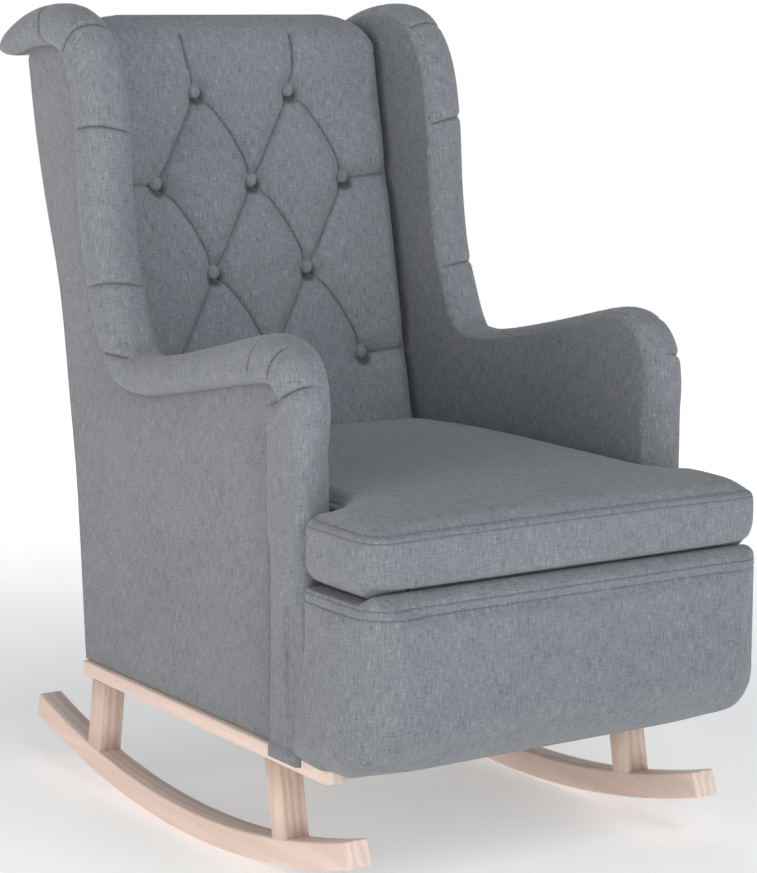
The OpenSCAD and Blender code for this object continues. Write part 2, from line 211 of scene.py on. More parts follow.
def timber(name, grainAxis, pale, deep, pores=0.5, roughness=0.5):
    made, tree, shader = newMaterial(name, roughness, **{"Specular IOR Level": 0.35, "Coat Weight": 0.08,
                                                        "Coat Roughness": 0.35})
    place = addNode(tree, "ShaderNodeTexCoord")
    whole = place.outputs["Object"]

    def alongGrain(short, long):
        scale = [short, short, short]
        scale[grainAxis] = long
        return stretched(tree, whole, scale)

    bend = noiseAt(tree, alongGrain(14.0, 2.2), 1.0, 2.0, 0.5)
    rings = addNode(tree, "ShaderNodeTexWave", {"Scale": 1.0, "Distortion": 5.0, "Detail": 2.0,
                                               "Detail Scale": 1.4}, wave_type="BANDS",
                    bands_direction="X" if grainAxis != 0 else "Z")
    wire(tree, alongGrain(26.0, 1.6), rings.inputs["Vector"])
    fibre = noiseAt(tree, alongGrain(420.0, 9.0), 1.0, 3.0, 0.6)
    pore = noiseAt(tree, alongGrain(900.0, 36.0), 1.0, 1.0, 0.5)
    tone = calc(tree, "ADD", calc(tree, "MULTIPLY", rings.outputs["Fac"], 0.42),
                calc(tree, "MULTIPLY", fibre, 0.38))
    tone = calc(tree, "ADD", tone, calc(tree, "MULTIPLY", bend, 0.30))
    colour = ramp(tree, tone, [(0.25, deep), (0.55, tuple((a + b) / 2 for a, b in zip(pale, deep))),
                               (0.85, pale)])
    dots = remap(tree, pore, 0.66, 0.74)
    colour = blendColour(tree, calc(tree, "MULTIPLY", dots, pores), colour, tuple(c * 0.55 for c in deep))
    wire(tree, colour, shader.inputs["Base Color"])
    wire(tree, remap(tree, fibre, 0.3, 0.7, roughness - 0.08, roughness + 0.1), shader.inputs["Roughness"])
    height = calc(tree, "SUBTRACT", calc(tree, "MULTIPLY", fibre, 0.4), dots)
    bumpInto(tree, shader, height, 0.25, 0.0006)
    return made


def metal(name, colour, roughness):
    made, tree, shader = newMaterial(name, roughness, Metallic=1.0)
    place = addNode(tree, "ShaderNodeTexCoord")
    wear = noiseAt(tree, place.outputs["Object"], 320.0, 4.0, 0.6)
    wire(tree, ramp(tree, wear, [(0.3, tuple(c * 0.8 for c in colour)), (0.7, colour)]),
         shader.inputs["Base Color"])
    wire(tree, remap(tree, wear, 0.3, 0.7, roughness - 0.08, roughness + 0.12), shader.inputs["Roughness"])
    bumpInto(tree, shader, wear, 0.2, 0.0002)
    return made


def plainCloth(name, dark, light, pitch):
    made, tree, shader = newMaterial(name, 0.9, **{"Sheen Weight": 0.1, "Specular IOR Level": 0.15})
    whole, flat, u, v = clothPlane(tree)
    k = math.pi / pitch
    weave = calc(tree, "MULTIPLY", calc(tree, "SINE", calc(tree, "MULTIPLY", u, k)),
                 calc(tree, "SINE", calc(tree, "MULTIPLY", v, k)))
    fuzz = noiseAt(tree, whole, 260.0, 4.0, 0.65)
    tone = calc(tree, "ADD", calc(tree, "MULTIPLY", weave, 0.22), fuzz)
    wire(tree, ramp(tree, tone, [(0.3, dark), (0.7, light)]), shader.inputs["Base Color"])
    bumpInto(tree, shader, tone, 0.5, 0.0008)
    return made


greyCloth = upholstery("greyCloth")
rubberwoodY = timber("rubberwoodLengthways", 1, (0.89, 0.74, 0.67), (0.76, 0.57, 0.49))
rubberwoodZ = timber("rubberwoodUpright", 2, (0.84, 0.69, 0.60), (0.68, 0.50, 0.41))
frameWoodX, frameWoodY, frameWoodZ = [
    timber(name, axis, (0.66, 0.50, 0.32), (0.42, 0.28, 0.15), 0.4, 0.7)
    for axis, name in enumerate(("frameTimberCrossways", "frameTimberLengthways", "frameTimberUpright"))]
plyFace = timber("plywoodFace", 1, (0.68, 0.50, 0.31), (0.50, 0.34, 0.19), 0.6, 0.65)
boltSteel = metal("boltSteel", (0.55, 0.55, 0.56), 0.35)
insertZinc = metal("insertZinc", (0.62, 0.58, 0.44), 0.4)
webCloth = plainCloth("webbingCloth", (0.02, 0.02, 0.02), (0.09, 0.085, 0.08), 0.003)
deckCloth = plainCloth("deckCloth", (0.045, 0.048, 0.054), (0.10, 0.105, 0.115), 0.0018)
dustCloth = plainCloth("dustCloth", (0.012, 0.012, 0.014), (0.035, 0.035, 0.04), 0.0014)
twineCloth = plainCloth("twineCloth", (0.36, 0.31, 0.22), (0.66, 0.60, 0.48), 0.0012)


# Mesh helpers
def meshFrom(bm, name):
    bmesh.ops.remove_doubles(bm, verts=bm.verts, dist=0.00005)
    bmesh.ops.recalc_face_normals(bm, faces=bm.faces)
    mesh = bpy.data.meshes.new(name)
    bm.to_mesh(mesh)
    bm.free()
    for face in mesh.polygons:
        face.use_smooth = True
    made = bpy.data.objects.new(name, mesh)
    scene.collection.objects.link(made)
    return made


@contextmanager
def editing(piece):
    # the piece's mesh as a bmesh, written back at the end
    bm = bmesh.new()
    bm.from_mesh(piece.data)
    yield bm
    bm.to_mesh(piece.data)
    bm.free()


def bake(piece):
    # replaces the piece's mesh by what its modifiers make of it
    graph = bpy.context.evaluated_depsgraph_get()
    result = bpy.data.meshes.new_from_object(piece.evaluated_get(graph))
    old = piece.data
    piece.modifiers.clear()
    piece.data = result
    bpy.data.meshes.remove(old)


def remesh(piece, voxel):
    grid = piece.modifiers.new("grid", "REMESH")
    grid.mode = "VOXEL"
    grid.voxel_size = voxel
    grid.use_smooth_shade = True
    bake(piece)


def refine(piece):
    finer = piece.modifiers.new("finer", "SUBSURF")
    finer.levels = 1
    finer.render_levels = 1
    bake(piece)


def relax(piece, times):
    with editing(piece) as bm:
        for _ in range(times):
            bmesh.ops.smooth_vert(bm, verts=list(bm.verts), factor=0.5, use_axis_x=True, use_axis_y=True,
                                  use_axis_z=True)


foamLook = {"pressure": 4.0, "stretch": 12.0, "bend": 0.4, "steps": 20}


def inflate(piece, cap):
    # cloth filled with foam: it swells under pressure, by no more than cap
    rest = [(v.co.copy(), v.normal.copy()) for v in piece.data.vertices]
    cloth = piece.modifiers.new("cloth", "CLOTH")
    cloth.settings.use_pressure = True
    cloth.settings.uniform_pressure_force = foamLook["pressure"]
    cloth.settings.effector_weights.gravity = 0.0
    cloth.settings.tension_stiffness = foamLook["stretch"]
    cloth.settings.compression_stiffness = foamLook["stretch"]
    cloth.settings.bending_stiffness = foamLook["bend"]
    cloth.collision_settings.use_collision = False
    cloth.collision_settings.use_self_collision = False
    for step in range(1, foamLook["steps"] + 1):
        scene.frame_set(step)
    bake(piece)
    for vert, (start, out) in zip(piece.data.vertices, rest):
        # the foam keeps the cloth from sinking in at the corners
        vert.co = start + out * max(0.0, min(cap, (vert.co - start).dot(out)))
    scene.frame_set(1)
    piece.data.update()


def shaped(piece, rule):
    for vert in piece.data.vertices:
        vert.co = rule(vert.co)
    piece.data.update()


def addPiece(piece, body, material, nodes=()):
    for vert in piece.data.vertices:
        vert.co.y += datumY
    piece.data.materials.clear()
    piece.data.materials.append(material)
    for face in piece.data.polygons:
        face.use_smooth = True
    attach(piece, body)
    if nodes:
        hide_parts(*nodes)
    print("made", piece.name, len(piece.data.polygons), "faces")
    return piece


def bevelEdges(bm, test, offset, segments):
    edges = [e for e in bm.edges if test(e)]
    bmesh.ops.bevel(bm, geom=edges, offset=offset, offset_type="OFFSET", segments=segments, profile=0.5,
                    affect="EDGES", clamp_overlap=True, material=-1)


def edgeAlong(axis, tolerance=0.9):
    def test(edge):
        run = (edge.verts[0].co - edge.verts[1].co).normalized()
        return abs(run[axis]) > tolerance
    return test


def levelAt(axis, place):
    # picks the edges that lie in the plane at this place
    def test(edge):
        return all(abs(v.co[axis] - place) < 1e-5 for v in edge.verts)
    return test


def prism(bm, corners, axis, low, high):
    # a flat outline pushed out along one axis; corners give the other two axes in order
    others = [i for i in range(3) if i != axis]
    verts = []
    for a, b in corners:
        place = Vector((0, 0, 0))
        place[axis], place[others[0]], place[others[1]] = low, a, b
        verts.append(bm.verts.new(place))
    face = bm.faces.new(verts)
    pushed = bmesh.ops.extrude_face_region(bm, geom=[face])
    move = Vector((0, 0, 0))
    move[axis] = high - low
    verts = [g for g in pushed["geom"] if isinstance(g, bmesh.types.BMVert)]
    bmesh.ops.translate(bm, vec=move, verts=verts)
    bmesh.ops.recalc_face_normals(bm, faces=bm.faces)


def brick(bm, low, high):
    made = bmesh.ops.create_cube(bm, size=1.0)["verts"]
    size = Vector(high) - Vector(low)
    bmesh.ops.scale(bm, vec=size, verts=made)
    bmesh.ops.translate(bm, vec=(Vector(low) + Vector(high)) / 2, verts=made)
    return made


def mirrored(piece, name):
    twin = piece.copy()
    twin.data = piece.data.copy()
    twin.name = name
    scene.collection.objects.link(twin)
    with editing(twin) as bm:
        bmesh.ops.scale(bm, vec=(-1, 1, 1), verts=bm.verts)
        bmesh.ops.reverse_faces(bm, faces=bm.faces)
    return twin


def addPair(piece, name, material, nodes=()):
    # the left piece and its mirror image on the right; the nodes are named without their side
    twin = mirrored(piece, name + "Right")
    for made, side in ((piece, "_left"), (twin, "_right")):
        addPiece(made, "chair", material, [node + side for node in nodes])


def wobble(place, size, amount, seed):
    return noise.noise(place / size + Vector((seed, seed * 1.7, seed * 0.3))) * amount


# Timber base
baseLook = {
    "outside": 0.278, "thick": 0.034, "railLow": 0.149, "railTop": 0.169, "railFront": -0.343,
    "runnerRadius": 1.406, "runnerDepth": 0.033, "runnerLowY": 0.020, "runnerFront": -0.387,
    "runnerRear": 0.430, "legWidth": 0.035, "frontLegY": -0.232, "rearLegY": 0.222, "splay": 0.020,
    "softEdge": 0.0028, "endRound": 0.0155,
}


def makeUpperRail():
    look = baseLook
    inside = look["outside"] - look["thick"]
    bm = bmesh.new()
    brick(bm, (inside, look["railFront"], look["railLow"]), (look["outside"], railRearY, look["railTop"]))
    upright = edgeAlong(2)
    bevelEdges(bm, lambda e: upright(e) and e.verts[0].co.y < 0, look["endRound"], 8)
    bevelEdges(bm, lambda e: upright(e) and e.verts[0].co.y > 0.2 and e.calc_face_angle(0) > 1.0, 0.007, 4)
    bevelEdges(bm, lambda e: e.calc_face_angle(0) > 1.2, look["softEdge"], 3)
    return meshFrom(bm, "upperRailLeft")


def makeRunner():
    # a square bar swept round the runner's centre, then rounded at both ends
    look = baseLook
    inside = look["outside"] - look["thick"]
    centre = Vector((0, look["runnerLowY"], look["runnerRadius"]))
    startAngle = math.asin((look["runnerFront"] - centre.y) / look["runnerRadius"])
    endAngle = math.asin((look["runnerRear"] - centre.y) / look["runnerRadius"])
    bm = bmesh.new()
    ring = []
    for x, rise in ((inside, 0), (look["outside"], 0), (look["outside"], look["runnerDepth"]),
                    (inside, look["runnerDepth"])):
        ring.append(bm.verts.new((x, centre.y, rise)))
    first = bm.faces.new(ring)
    bmesh.ops.rotate(bm, verts=ring, cent=centre, matrix=Matrix.Rotation(startAngle, 3, "X"))
    bmesh.ops.spin(bm, geom=[first], cent=centre, axis=(1, 0, 0), angle=endAngle - startAngle, steps=40)
    bmesh.ops.remove_doubles(bm, verts=bm.verts, dist=0.00005)
    bmesh.ops.recalc_face_normals(bm, faces=bm.faces)
    ends = (look["runnerFront"] + 0.004, look["runnerRear"] - 0.004)

    def endUpright(e):
        spot = (e.verts[0].co + e.verts[1].co) / 2
        run = (e.verts[0].co - e.verts[1].co)
        return (spot.y < ends[0] or spot.y > ends[1]) and abs(run.x) < 1e-5 and e.calc_face_angle(0) > 1.0
    bevelEdges(bm, endUpright, look["endRound"], 8)
    bevelEdges(bm, lambda e: e.calc_face_angle(0) > 1.2, look["softEdge"], 3)
    return meshFrom(bm, "runnerLeft")


def makeLeg(name, y, splay):
    look = baseLook
    inside = look["outside"] - look["thick"]
    radius = look["runnerRadius"] - look["runnerDepth"]

    def runnerTop(at):
        return look["runnerRadius"] - math.sqrt(radius ** 2 - (at - look["runnerLowY"]) ** 2)
    fall = splay * 0.86
    foot = [y + fall, y + fall + look["legWidth"]]
    bm = bmesh.new()
    prism(bm, [(y, look["railLow"]), (y + look["legWidth"], look["railLow"]),
               (foot[1], runnerTop(foot[1]) - 0.001), (foot[0], runnerTop(foot[0]) - 0.001)],
          0, inside, look["outside"])
    upright = edgeAlong(2, 0.8)
    bevelEdges(bm, upright, 0.0035, 3)
    return meshFrom(bm, name)


def makeTimber():
    look = baseLook
    made = [
        (makeUpperRail(), "upper_rail", "upperRail", rubberwoodY),
        (makeRunner(), "runner", "runner", rubberwoodY),
        (makeLeg("frontLegLeft", look["frontLegY"], -look["splay"]), "front_leg", "frontLeg", rubberwoodZ),
        (makeLeg("rearLegLeft", look["rearLegY"], look["splay"]), "rear_leg", "rearLeg", rubberwoodZ),
    ]
    for piece, node, name, material in made:
        addPair(piece, name, material, (node,))


makeTimber()


# Outside covers, which the padded sides are sewn to; outlines as (y, z)
coverLook = {
    "inner": 0.2662, "outer": 0.2708, "billow": 0.0022, "grid": 0.012, "edgeRound": 0.0022,
    # painted shade where the cloth meets the arm front and the roll: how dark, and how far that reaches
    "paintedJointShade": ((0.42, 0.014), (0.16, 0.075)),
    "rear": [(0.289, 0.169), (0.304, 0.390), (0.323, 0.522), (0.347, 0.669), (0.387, 0.788),
             (0.413, 0.881), (0.431, 0.975)],
    "top": [(0.420, 0.998), (0.334, 1.014), (0.290, 1.001), (0.262, 0.962), (0.240, 0.889),
            (0.234, 0.806), (0.222, 0.727), (0.200, 0.668), (0.172, 0.606), (0.135, 0.578),
            (0.072, 0.573), (-0.063, 0.596), (-0.190, 0.624), (-0.240, 0.624), (-0.272, 0.598),
            (-0.283, 0.545)],
    "bottom": 0.1698, "front": -0.283,
}


# Padded sides: inside panel, roll and arm front in one skin
sideLook = {
    "inner": 0.2325,
    "padBack": 0.256,
    "rollMiddle": 0.2635,
    # middle line of the roll, from the wing's rear end to the arm's nose: y, z, half depth, half width
    "line": [
        (0.484, 0.989, 0.010, 0.034), (0.450, 1.003, 0.019, 0.034), (0.400, 1.018, 0.025, 0.033),
        (0.340, 1.024, 0.028, 0.033), (0.287, 1.012, 0.032, 0.033), (0.247, 0.966, 0.033, 0.033),
        (0.229, 0.889, 0.033, 0.033),
        (0.223, 0.806, 0.033, 0.033), (0.211, 0.727, 0.033, 0.033), (0.194, 0.672, 0.033, 0.033),
        (0.158, 0.600, 0.030, 0.033), (0.120, 0.583, 0.027, 0.033), (0.060, 0.586, 0.024, 0.033),
        (-0.063, 0.609, 0.025, 0.033), (-0.190, 0.635, 0.028, 0.033), (-0.236, 0.635, 0.029, 0.032),
        (-0.266, 0.612, 0.029, 0.029), (-0.278, 0.570, 0.027, 0.025), (-0.277, 0.530, 0.024, 0.023),
    ],
    "padBottom": 0.3865,
    "backOfPad": [(0.378, 0.975), (0.276, 0.466), (0.276, 0.394), (0.249, 0.3865)],
    "frontFace": -0.3045,
    "frontBack": -0.213,
    "frontOuter": 0.2862,
    "frontRound": (0.030, 0.007, 0.009),  # inner, outer and rear corner
    "underFlap": (-0.262, 0.352, 0.2818),  # behind the apron's flap: y, z and x
    "frontBottom": 0.1705,
    "frontTop": 0.585,
    "outerFrom": 0.275,
    "swell": 0.0035,
    "voxel": 0.0055,
    "pleatWidth": 0.009,
    "pleatEdges": (-0.004, -0.0013, 0.0, 0.0013, 0.004),
    "pleatShade": (0.85, 0.0022),  # darkness and half width
    "coverShade": (0.8, 0.008),
    # pleats sewn across the roll: place, direction across the pleat, reach, depth
    "pleats": [
        ((0.2635, 0.348, 1.020), (0, -0.97, 0.25), 0.045, 0.0032),
        ((0.2635, 0.272, 0.999), (0, -0.80, -0.60), 0.047, 0.0036),
        ((0.2635, 0.229, 0.884), (0.20, -0.20, -0.96), 0.048, 0.0036),
        ((0.2635, 0.199, 0.684), (0.13, -0.25, -0.97), 0.044, 0.0036),
        ((0.2635, 0.170, 0.603), (0, 0, -1), 0.062, 0.0045),
        ((0.2860, -0.196, 0.637), (0, -0.94, -0.34), 0.028, 0.0016),
        ((0.2860, -0.240, 0.634), (0, -0.88, -0.48), 0.033, 0.0042),
        ((0.2840, -0.274, 0.603), (0, -0.48, -0.88), 0.037, 0.0042),
    ],
}


def smoothLine(points, steps):
    # Catmull-Rom curve through the points, as tuples of any length
    made = []
    for i in range(len(points) - 1):
        a, b, c, d = [points[max(0, min(len(points) - 1, i + k))] for k in (-1, 0, 1, 2)]
        for s in range(steps):
            t = s / steps
            made.append(tuple(
                0.5 * (2 * q + (r - p) * t + (2 * p - 5 * q + 4 * r - w) * t * t
                       + (3 * q - p - 3 * r + w) * t ** 3)
                for p, q, r, w in zip(a, b, c, d)))
    made.append(tuple(points[-1]))
    return made


def sweepTube(bm, line, middle, corners=20, squareness=2.25):
    # soft rounded squares along a line in the Y-Z plane, bridged into one closed tube
    rings = []
    count = len(line)
    for i, (y, z, deep, wide) in enumerate(line):
        before, after = line[max(0, i - 1)], line[min(count - 1, i + 1)]
        run = Vector((0, after[0] - before[0], after[1] - before[1])).normalized()
        out = Vector((0, run.z, -run.y))
        shrink = (0.8, 0.95, 1.0)[min(i, count - 1 - i, 2)]
        ring = bmesh.ops.create_circle(bm, segments=corners, radius=1.0)["verts"]
        for vert in ring:
            across, along = vert.co.x, vert.co.y
            scale = (abs(across) ** squareness + abs(along) ** squareness) ** (-1 / squareness) * shrink
            vert.co = Vector((middle + across * scale * wide, y, z)) + out * (along * scale * deep)
        rings.append(ring)
    for near, far in zip(rings, rings[1:]):
        loops = list({e for v in near + far for e in v.link_edges if e.is_wire or not e.link_faces})
        loops += [e for v in near for e in v.link_edges if e.other_vert(v) in near and e not in loops]
        bmesh.ops.bridge_loops(bm, edges=list(set(loops)))
    for ring in (rings[0], rings[-1]):
        bm.faces.new(ring)
    return bm


def makeSideShape():
    look = sideLook
    line = smoothLine(look["line"], 3)
    bm = bmesh.new()
    sweepTube(bm, line, look["rollMiddle"])
    outline = [(0.436, 0.985)] + [(y, z) for y, z, deep, wide in line if y < 0.43]
    outline += [(coverLook["front"], look["padBottom"])]
    outline += [(y, z) for y, z in reversed(look["backOfPad"])]
    slab = bmesh.new()
    prism(slab, outline, 0, look["inner"] + look["swell"], look["padBack"])
    joinInto(bm, slab)
    front = bmesh.new()
    brick(front, (look["inner"] + look["swell"], look["frontFace"] + look["swell"], look["frontBottom"]),
          (look["frontOuter"] - look["swell"], look["frontBack"], look["frontTop"]))
    upright = edgeAlong(2, 0.8)
    inner, outer, rear = look["frontRound"]
    middle = (look["frontFace"] + look["frontBack"]) / 2

    def corner(outward, forward):
        return lambda e: (upright(e) and (e.verts[0].co.x > look["outerFrom"]) == outward
                          and (e.verts[0].co.y < middle) == forward)
    bevelEdges(front, corner(False, True), inner, 7)
    bevelEdges(front, corner(True, True), outer, 4)
    bevelEdges(front, corner(True, False), rear, 4)
    joinInto(bm, front)
    return meshFrom(bm, "paddedSideLeft")


def joinInto(bm, other):
    bmesh.ops.recalc_face_normals(other, faces=other.faces)
    mesh = bpy.data.meshes.new("part")
    other.to_mesh(mesh)
    other.free()
    bm.from_mesh(mesh)
    bpy.data.meshes.remove(mesh)


def cutAcross(bm, centre, normal, offsets, near):
    # extra edge lines across the faces that near() picks, so that a seam is crisp
    faces = [f for f in bm.faces if near(f.calc_center_median())]
    geom = list({g for f in faces for g in [*f.verts, *f.edges]}) + faces
    for offset in offsets:
        if geom:
            geom = bmesh.ops.bisect_plane(bm, geom=geom, dist=0.00002, plane_co=centre + normal * offset,
                                          plane_no=normal)["geom"]


def sewIn(piece, cuts, depthAt, way=None):
    # cuts the seam lines, then sinks each point by depthAt, along way or its own normal, and stores its painted
    # shade in a point layer
    with editing(piece) as bm:
        for centre, normal, offsets, near in cuts:
            cutAcross(bm, centre, normal, offsets, near)
        bm.normal_update()
        layer = bm.verts.layers.float.new("paintedShade")
        for vert in bm.verts:
            depth, dark = depthAt(vert.co, vert.normal)
            if depth:
                vert.co -= (way or vert.normal) * depth
            vert[layer] = dark


seamLook = {"reach": 0.008, "edges": (-0.0024, -0.0009, 0.0, 0.0009, 0.0024), "depth": 0.0010,
            "width": 0.0026, "shade": 0.35, "shadeWidth": 0.0012}


def sewLevelSeams(piece, heights, bare):
    # a level seam at each height, except where bare() says that there is none
    look = seamLook
    up = Vector((0, 0, 1))
    cuts = []
    for height in heights:
        def near(co, height=height):
            return abs(co.z - height) < look["reach"]
        cuts.append((Vector((0, 0, height)), up, look["edges"], near))

    def depthAt(co, facing):
        if bare(co, facing):
            return 0.0, 0.0
        d = min(abs(co.z - height) for height in heights)
        depth = look["depth"] * max(0.0, 1 - d / look["width"]) ** 1.5
        # the seam groove is sunk and given painted shade
        return depth, look["shade"] * max(0.0, 1 - d / look["shadeWidth"])
    sewIn(piece, cuts, depthAt)


def makePaddedSides():
    look = sideLook
    piece = makeSideShape()
    remesh(piece, look["voxel"])
    relax(piece, 6)
    inflate(piece, look["swell"])
    relax(piece, 2)
    refine(piece)

    def settle(co):
        made = co.copy()
        made.x = max(made.x, look["inner"])
        swollen = wobble(co, 0.11, 0.0016, 3.1)
        if co.x > 0.2835 or co.z > 0.66 or co.y < -0.27:
            made += Vector((0, swollen, swollen * 0.7))
        flapY, flapZ, flapX = look["underFlap"]
        if co.y < flapY and co.z < flapZ:
            made.x = min(made.x, flapX)
        return made
    shaped(piece, settle)
    line = smoothLine(look["line"], 2)

    def underRoll(co):
        # on the side of the roll that faces the middle of the chair's side
        steps = [((co.y - p[0]) ** 2 + (co.z - p[1]) ** 2, i) for i, p in enumerate(line)]
        i = min(steps)[1]
        before, after = line[max(0, i - 1)], line[min(len(line) - 1, i + 1)]
        run = Vector((after[0] - before[0], after[1] - before[1])).normalized()
        out = Vector((run.y, -run.x))
        return Vector((co.y - line[i][0], co.z - line[i][1])).dot(out) < -0.006

    cuts, seams = [], []
    for place, across, reach, depth in look["pleats"]:
        centre = Vector(place)
        normal = Vector(across).normalized()
        seams.append((centre, normal, reach, depth))

        def near(co, centre=centre, normal=normal, reach=reach):
            away = co - centre
            return away.length < reach + 0.01 and abs(away.dot(normal)) < look["pleatWidth"]
        cuts.append((centre, normal, look["pleatEdges"], near))

    def depthAt(co, normal):
        sink, dark = 0.0, 0.0
        for centre, across, reach, depth in seams:
            away = co - centre
            if away.length < reach:
                d = abs(away.dot(across))
                fade = min(1.0, (reach - away.length) / 0.012, max(0.0, co.x - look["inner"] - 0.002) / 0.005)
                if d < look["pleatWidth"]:
                    shade, reached = look["pleatShade"]
                    sink = max(sink, depth * (1 - d / look["pleatWidth"]) ** 2 * fade)
                    # painted shade along each pleat
                    dark = max(dark, fade * max(0.0, 1 - d / reached) * shade)
        # painted shade where the skin is sewn down to the outside cover, under the roll and behind the arm front
        cover = coverLook["outer"] + 0.0020
        shade, reached = look["coverShade"]
        if cover - 0.005 < co.x < cover + reached:
            behind = co.y > look["frontBack"] - 0.008 if co.z < 0.56 else underRoll(co)
            if behind:
                dark = max(dark, shade * (1 - max(0.0, co.x - cover) / reached))
        return sink, dark
    sewIn(piece, cuts, depthAt)
    nodes = ("inside_arm", "inside_wing", "arm_roll", "wing_roll", "arm_front")
    addPair(piece, "paddedSide", greyCloth, nodes=nodes)


hemLook = {
    "outer": sideLook["frontOuter"] - 0.0012, "inner": baseLook["outside"] + 0.0006,
    "front": -0.284, "rear": -0.2150, "low": 0.1580, "high": 0.1850,
    "cutsAlong": (-0.278, -0.2240, 0.01), "cutsUp": (0.164, 0.1850, 0.003),
    "endRound": 0.0055, "lowRound": 0.0014, "tuckFrom": 0.172, "tuckRun": 0.008, "tuck": 0.9,
}


def makeFrontHems():
    # the arm front's cloth hangs a little below the rail's top, outboard of it
    look = hemLook
    bm = bmesh.new()
    brick(bm, (look["inner"], look["front"], look["low"]), (look["outer"], look["rear"], look["high"]))
    upright, lowest = edgeAlong(2), levelAt(2, look["low"])
    bevelEdges(bm, lambda e: upright(e) and e.verts[0].co.x > look["outer"] - 0.001, look["endRound"], 4)
    gridCuts(bm, 1, *look["cutsAlong"])
    gridCuts(bm, 2, *look["cutsUp"])
    bevelEdges(bm, lambda e: lowest(e) and e.calc_face_angle(0) > 0.8, look["lowRound"], 2)
    # its upper edge is tucked inside the arm front
    for vert in bm.verts:
        tuck = max(0.0, min(1.0, (vert.co.z - look["tuckFrom"]) / look["tuckRun"]))
        vert.co.x += (baseLook["outside"] + 0.001 - vert.co.x) * tuck * look["tuck"]
    piece = meshFrom(bm, "armFrontHemLeft")
    addPair(piece, "armFrontHem", greyCloth)


makePaddedSides()


# Outside covers and outside back
def gridCuts(bm, axis, low, high, step):
    count = int((high - low) / step)
    normal = Vector((0, 0, 0))
    normal[axis] = 1
    for i in range(1, count):
        geom = [*bm.verts, *bm.edges, *bm.faces]
        place = normal * (low + (high - low) * i / count)
        bmesh.ops.bisect_plane(bm, geom=geom, dist=0.00002, plane_co=place, plane_no=normal)


def makeOutsideCovers():
    look = coverLook
    rear, top = smoothLine(look["rear"], 3), smoothLine(look["top"], 2)
    bm = bmesh.new()
    outline = [(y, max(z, look["bottom"])) for y, z in rear] + top + [(look["front"], look["bottom"])]
    prism(bm, outline, 0, look["inner"], look["outer"])
    bevelEdges(bm, levelAt(0, look["outer"]), look["edgeRound"], 3)
    gridCuts(bm, 1, look["front"], 0.431, look["grid"])
    gridCuts(bm, 2, look["bottom"], 1.008, look["grid"])
    bmesh.ops.triangulate(bm, faces=[f for f in bm.faces if len(f.verts) > 4])
    layer = bm.verts.layers.float.new("paintedShade")
    roll = smoothLine(sideLook["line"], 3)
    for vert in bm.verts:
        y, z = vert.co.y, vert.co.z
        # painted shade, darkest where the cloth meets the arm front and the roll
        toFront = y - sideLook["frontBack"] if z < 0.56 else 1.0
        toRoll = min(math.hypot(y - p[0], z - p[1]) - p[2] for p in roll)
        gap = max(0.0, min(toFront, toRoll))
        vert[layer] = sum(dark * max(0.0, 1 - gap / reach) for dark, reach in look["paintedJointShade"])
        if vert.co.x > look["inner"] + 0.001:
            inFrom = min(1.0, max(0.0, 0.30 + 0.14 * (z - 0.17) - y) / 0.10, (z - look["bottom"]) / 0.08)
            vert.co.x += look["billow"] * inFrom * (1 + noise.noise(Vector((1.3, y * 7, z * 6))) * 0.9)
            vert.co.x += noise.noise(Vector((4.0, y * 26, z * 3))) * 0.0004 * inFrom
    piece = meshFrom(bm, "outsideCoverLeft")
    addPair(piece, "outsideCover", greyCloth, nodes=("outside_cover",))


makeOutsideCovers()
makeFrontHems()


backCoverLook = {
    "half": coverLook["inner"] - 0.0006, "thick": 0.004, "rim": 0.0014, "drawn": 0.0030, "top": 0.975,
    # the hem over the top of the back: y, z
    "hem": [(0.427, 0.972), (0.431, 0.975), (0.4345, 0.986), (0.432, 0.994), (0.409, 0.997), (0.409, 0.991),
            (0.427, 0.988)],
    "hemHalf": 0.2312, "hemRound": 0.0016,
}


def makeOutsideBack():
    look = backCoverLook
    half, bottom, top = look["half"], coverLook["bottom"], look["top"]
    rear = smoothLine(coverLook["rear"], 3)
    bm = bmesh.new()
    prism(bm, rear + [(y - look["thick"], z) for y, z in reversed(rear)], 0, -half, half)
    bevelEdges(bm, lambda e: e.calc_face_angle(0) > 1.0, look["rim"], 2)
    gridCuts(bm, 0, -half, half, coverLook["grid"])
    gridCuts(bm, 2, bottom, top, coverLook["grid"])
    for vert in bm.verts:
        x, z = vert.co.x, vert.co.z
        inFrom = (1 - (x / half) ** 2) * min(1.0, (z - 0.169) / 0.09, (top - z) / 0.05)
        vert.co.y -= look["drawn"] * max(0.0, inFrom) * (1 + noise.noise(Vector((x * 6, 2.2, z * 5))) * 0.8)
    piece = meshFrom(bm, "outsideBack")
    cap = bmesh.new()
    prism(cap, look["hem"], 0, -look["hemHalf"], look["hemHalf"])
    crossways = edgeAlong(0)
    bevelEdges(cap, lambda e: crossways(e) and e.calc_face_angle(0) > 0.5, look["hemRound"], 3)
    hem = meshFrom(cap, "topHem")
    addPiece(piece, "chair", greyCloth, ("outside_back",))
    addPiece(hem, "chair", greyCloth)


makeOutsideBack()


